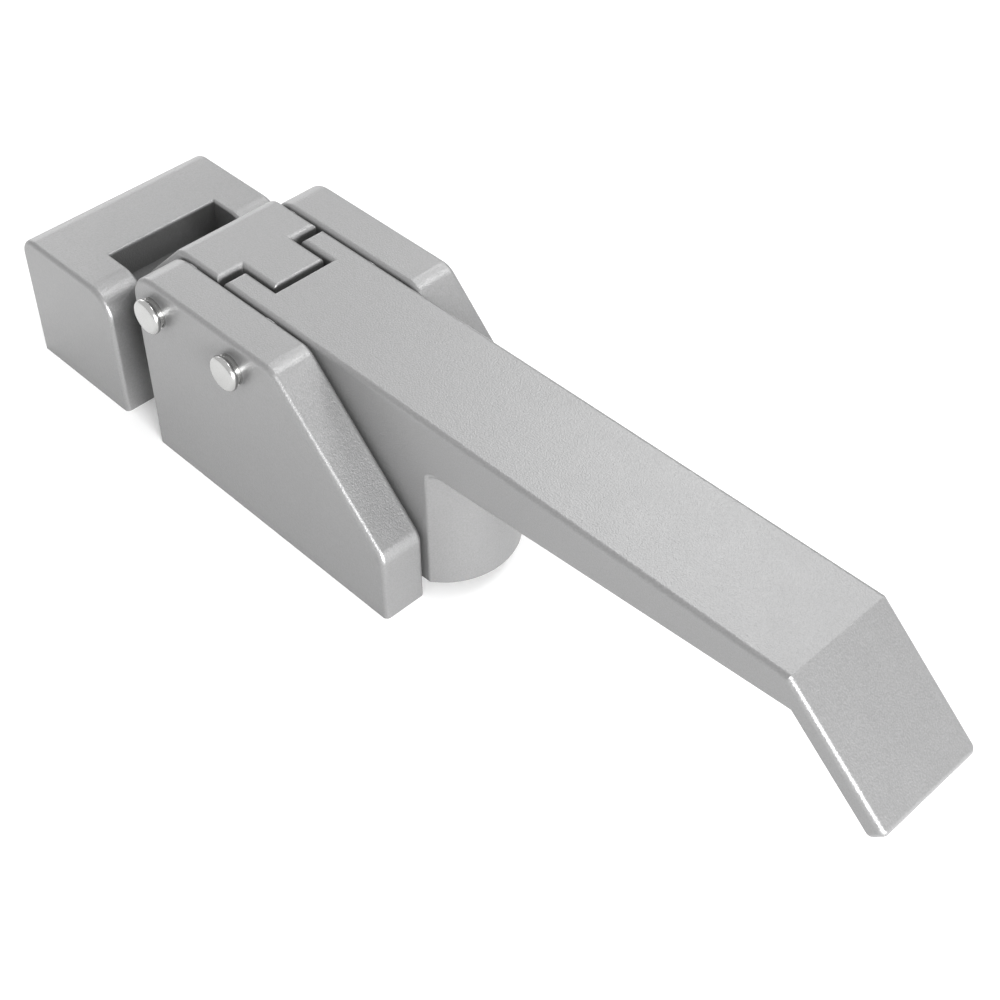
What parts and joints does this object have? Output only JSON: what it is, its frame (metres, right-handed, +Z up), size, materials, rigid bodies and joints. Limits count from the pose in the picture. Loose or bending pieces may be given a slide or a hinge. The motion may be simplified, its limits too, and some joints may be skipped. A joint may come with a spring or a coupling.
{
  "type": "over-centre latch",
  "caption": "Surface-mounted over-centre latch with a bent lever, a T-headed hook between riveted cheeks, a toggle link and a notched keeper block.",
  "frame": {"origin": "middle of the base's underside, on the surface that the base is fixed to", "axes": "+X along the latch from the keeper to the lever's tip, +Y across it away from the picture's near side, +Z up out of the fixing surface"},
  "size_m": [0.1521, 0.0354, 0.0312],
  "materials": {
    "satin_casting": "bead-blasted stainless casting, satin",
    "polished_rivet": "polished stainless",
    "bush_bronze": "machined bronze",
    "bright_steel": "bright stainless spring strip and turned steel",
    "link_steel": "punched stainless plate",
    "pin_steel": "ground stainless pin"
  },
  "bodies": {
    "mounting": {"base": "satin_casting", "keeper": "satin_casting", "hook_rivet": "polished_rivet", "lever_rivet": "polished_rivet", "hook_washer_near": "bright_steel", "hook_washer_far": "bright_steel", "lever_washer_near": "bright_steel", "lever_washer_far": "bright_steel"},
    "lever": {"lever": "satin_casting", "lever_bush_near": "bush_bronze", "lever_bush_far": "bush_bronze", "crank_pin": "pin_steel"},
    "hook": {"hook": "satin_casting", "hook_bush": "bush_bronze", "link_pin": "pin_steel", "clip_near": "bright_steel", "clip_far": "bright_steel"},
    "link": {"link_near": "link_steel", "link_far": "link_steel", "link_spacer": "bright_steel"}
  },
  "joints": [
    {"name": "lever_turn", "type": "hinge", "parent": "mounting", "child": "lever", "pos_m": [-0.0035, 0, 0.0264], "axis": [0, -1, 0], "range_deg": [0, 80]},
    {"name": "hook_turn", "type": "hinge", "parent": "mounting", "child": "hook", "pos_m": [-0.02, 0, 0.0264], "axis": [0, -1, 0], "range_deg": [0, 24.4]},
    {"name": "link_turn", "type": "hinge", "parent": "lever", "child": "link", "pos_m": [-0.0087, 0, 0.02234], "axis": [0, -1, 0], "range_deg": [-97.6, 0]}
  ],
  "couplings": [
    {"joint": "hook_turn", "follows": "lever_turn", "ratio": 0.304},
    {"joint": "link_turn", "follows": "lever_turn", "ratio": -1.218}
  ]
}
